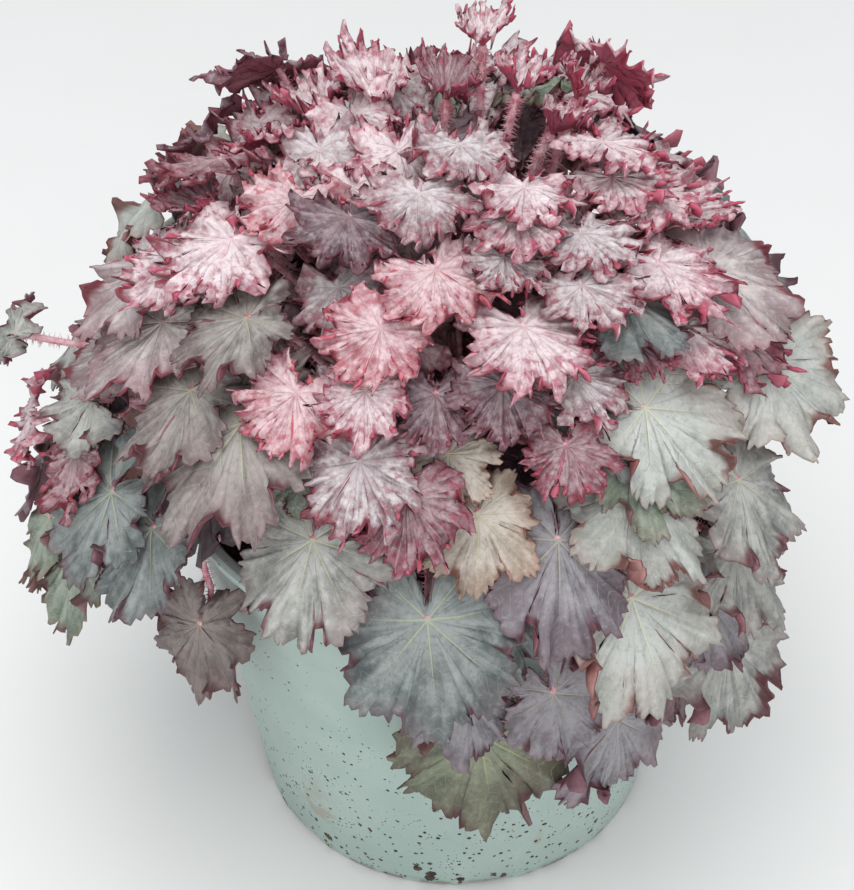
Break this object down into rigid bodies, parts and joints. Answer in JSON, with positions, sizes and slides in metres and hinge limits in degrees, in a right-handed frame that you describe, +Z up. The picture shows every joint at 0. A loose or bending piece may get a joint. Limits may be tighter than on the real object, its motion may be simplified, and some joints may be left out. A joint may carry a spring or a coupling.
{
  "type": "heuchera plant",
  "caption": "Mound of lobed, wavy coral-bell leaves on thin stalks, with frilled pink young growth on top, in a round tapered nursery pot filled with compost.",
  "frame": {"origin": "centre of the pot's underside, on the surface that the pot stands on", "axes": "+Z up along the pot's axis; -Y towards the plant's front; +X to the right seen from the front"},
  "size_m": [0.2652, 0.2695, 0.3029],
  "materials": {
    "pot": "satin",
    "compost": "matte",
    "leaf": "satin",
    "young_leaf": "satin"
  },
  "bodies": {
    "root": {"leaf_01": "leaf", "leaf_02-leaf_19-leaf_20": "leaf", "leaf_03": "leaf", "leaf_04": "leaf", "leaf_05-leaf_06": "leaf", "leaf_07-leaf_08": "leaf", "leaf_09": "leaf", "leaf_10-leaf_11": "leaf", "leaf_12": "leaf", "leaf_13-shoot_1": "leaf", "leaf_14": "leaf", "leaf_15": "leaf", "leaf_16": "leaf", "leaf_17": "leaf", "leaf_18-leaf_21-leaf_22-leaf_26-shoot_2-shoot_3": "leaf", "leaf_23-leaf_25-shoot_11": "leaf", "leaf_24": "leaf", "leaf_27": "leaf", "leaf_28-leaf_39": "leaf", "leaf_29-leaf_40": "leaf", "leaf_30-leaf_41": "leaf", "leaf_31-leaf_42": "leaf", "leaf_32": "leaf", "leaf_33": "leaf", "leaf_34": "leaf", "leaf_35": "leaf", "leaf_36": "leaf", "leaf_37": "leaf", "leaf_38": "leaf", "leaf_43": "leaf", "leaf_44": "leaf", "leaf_45": "leaf", "leaf_46": "leaf", "leaf_47": "leaf", "leaf_48": "leaf", "pot": "pot", "shoot_0": "young_leaf", "shoot_10": "young_leaf", "shoot_12": "young_leaf", "shoot_4": "young_leaf", "shoot_5-shoot_6": "young_leaf", "shoot_7": "young_leaf", "shoot_8": "young_leaf", "shoot_9": "young_leaf", "soil": "compost"}
  },
  "joints": []
}
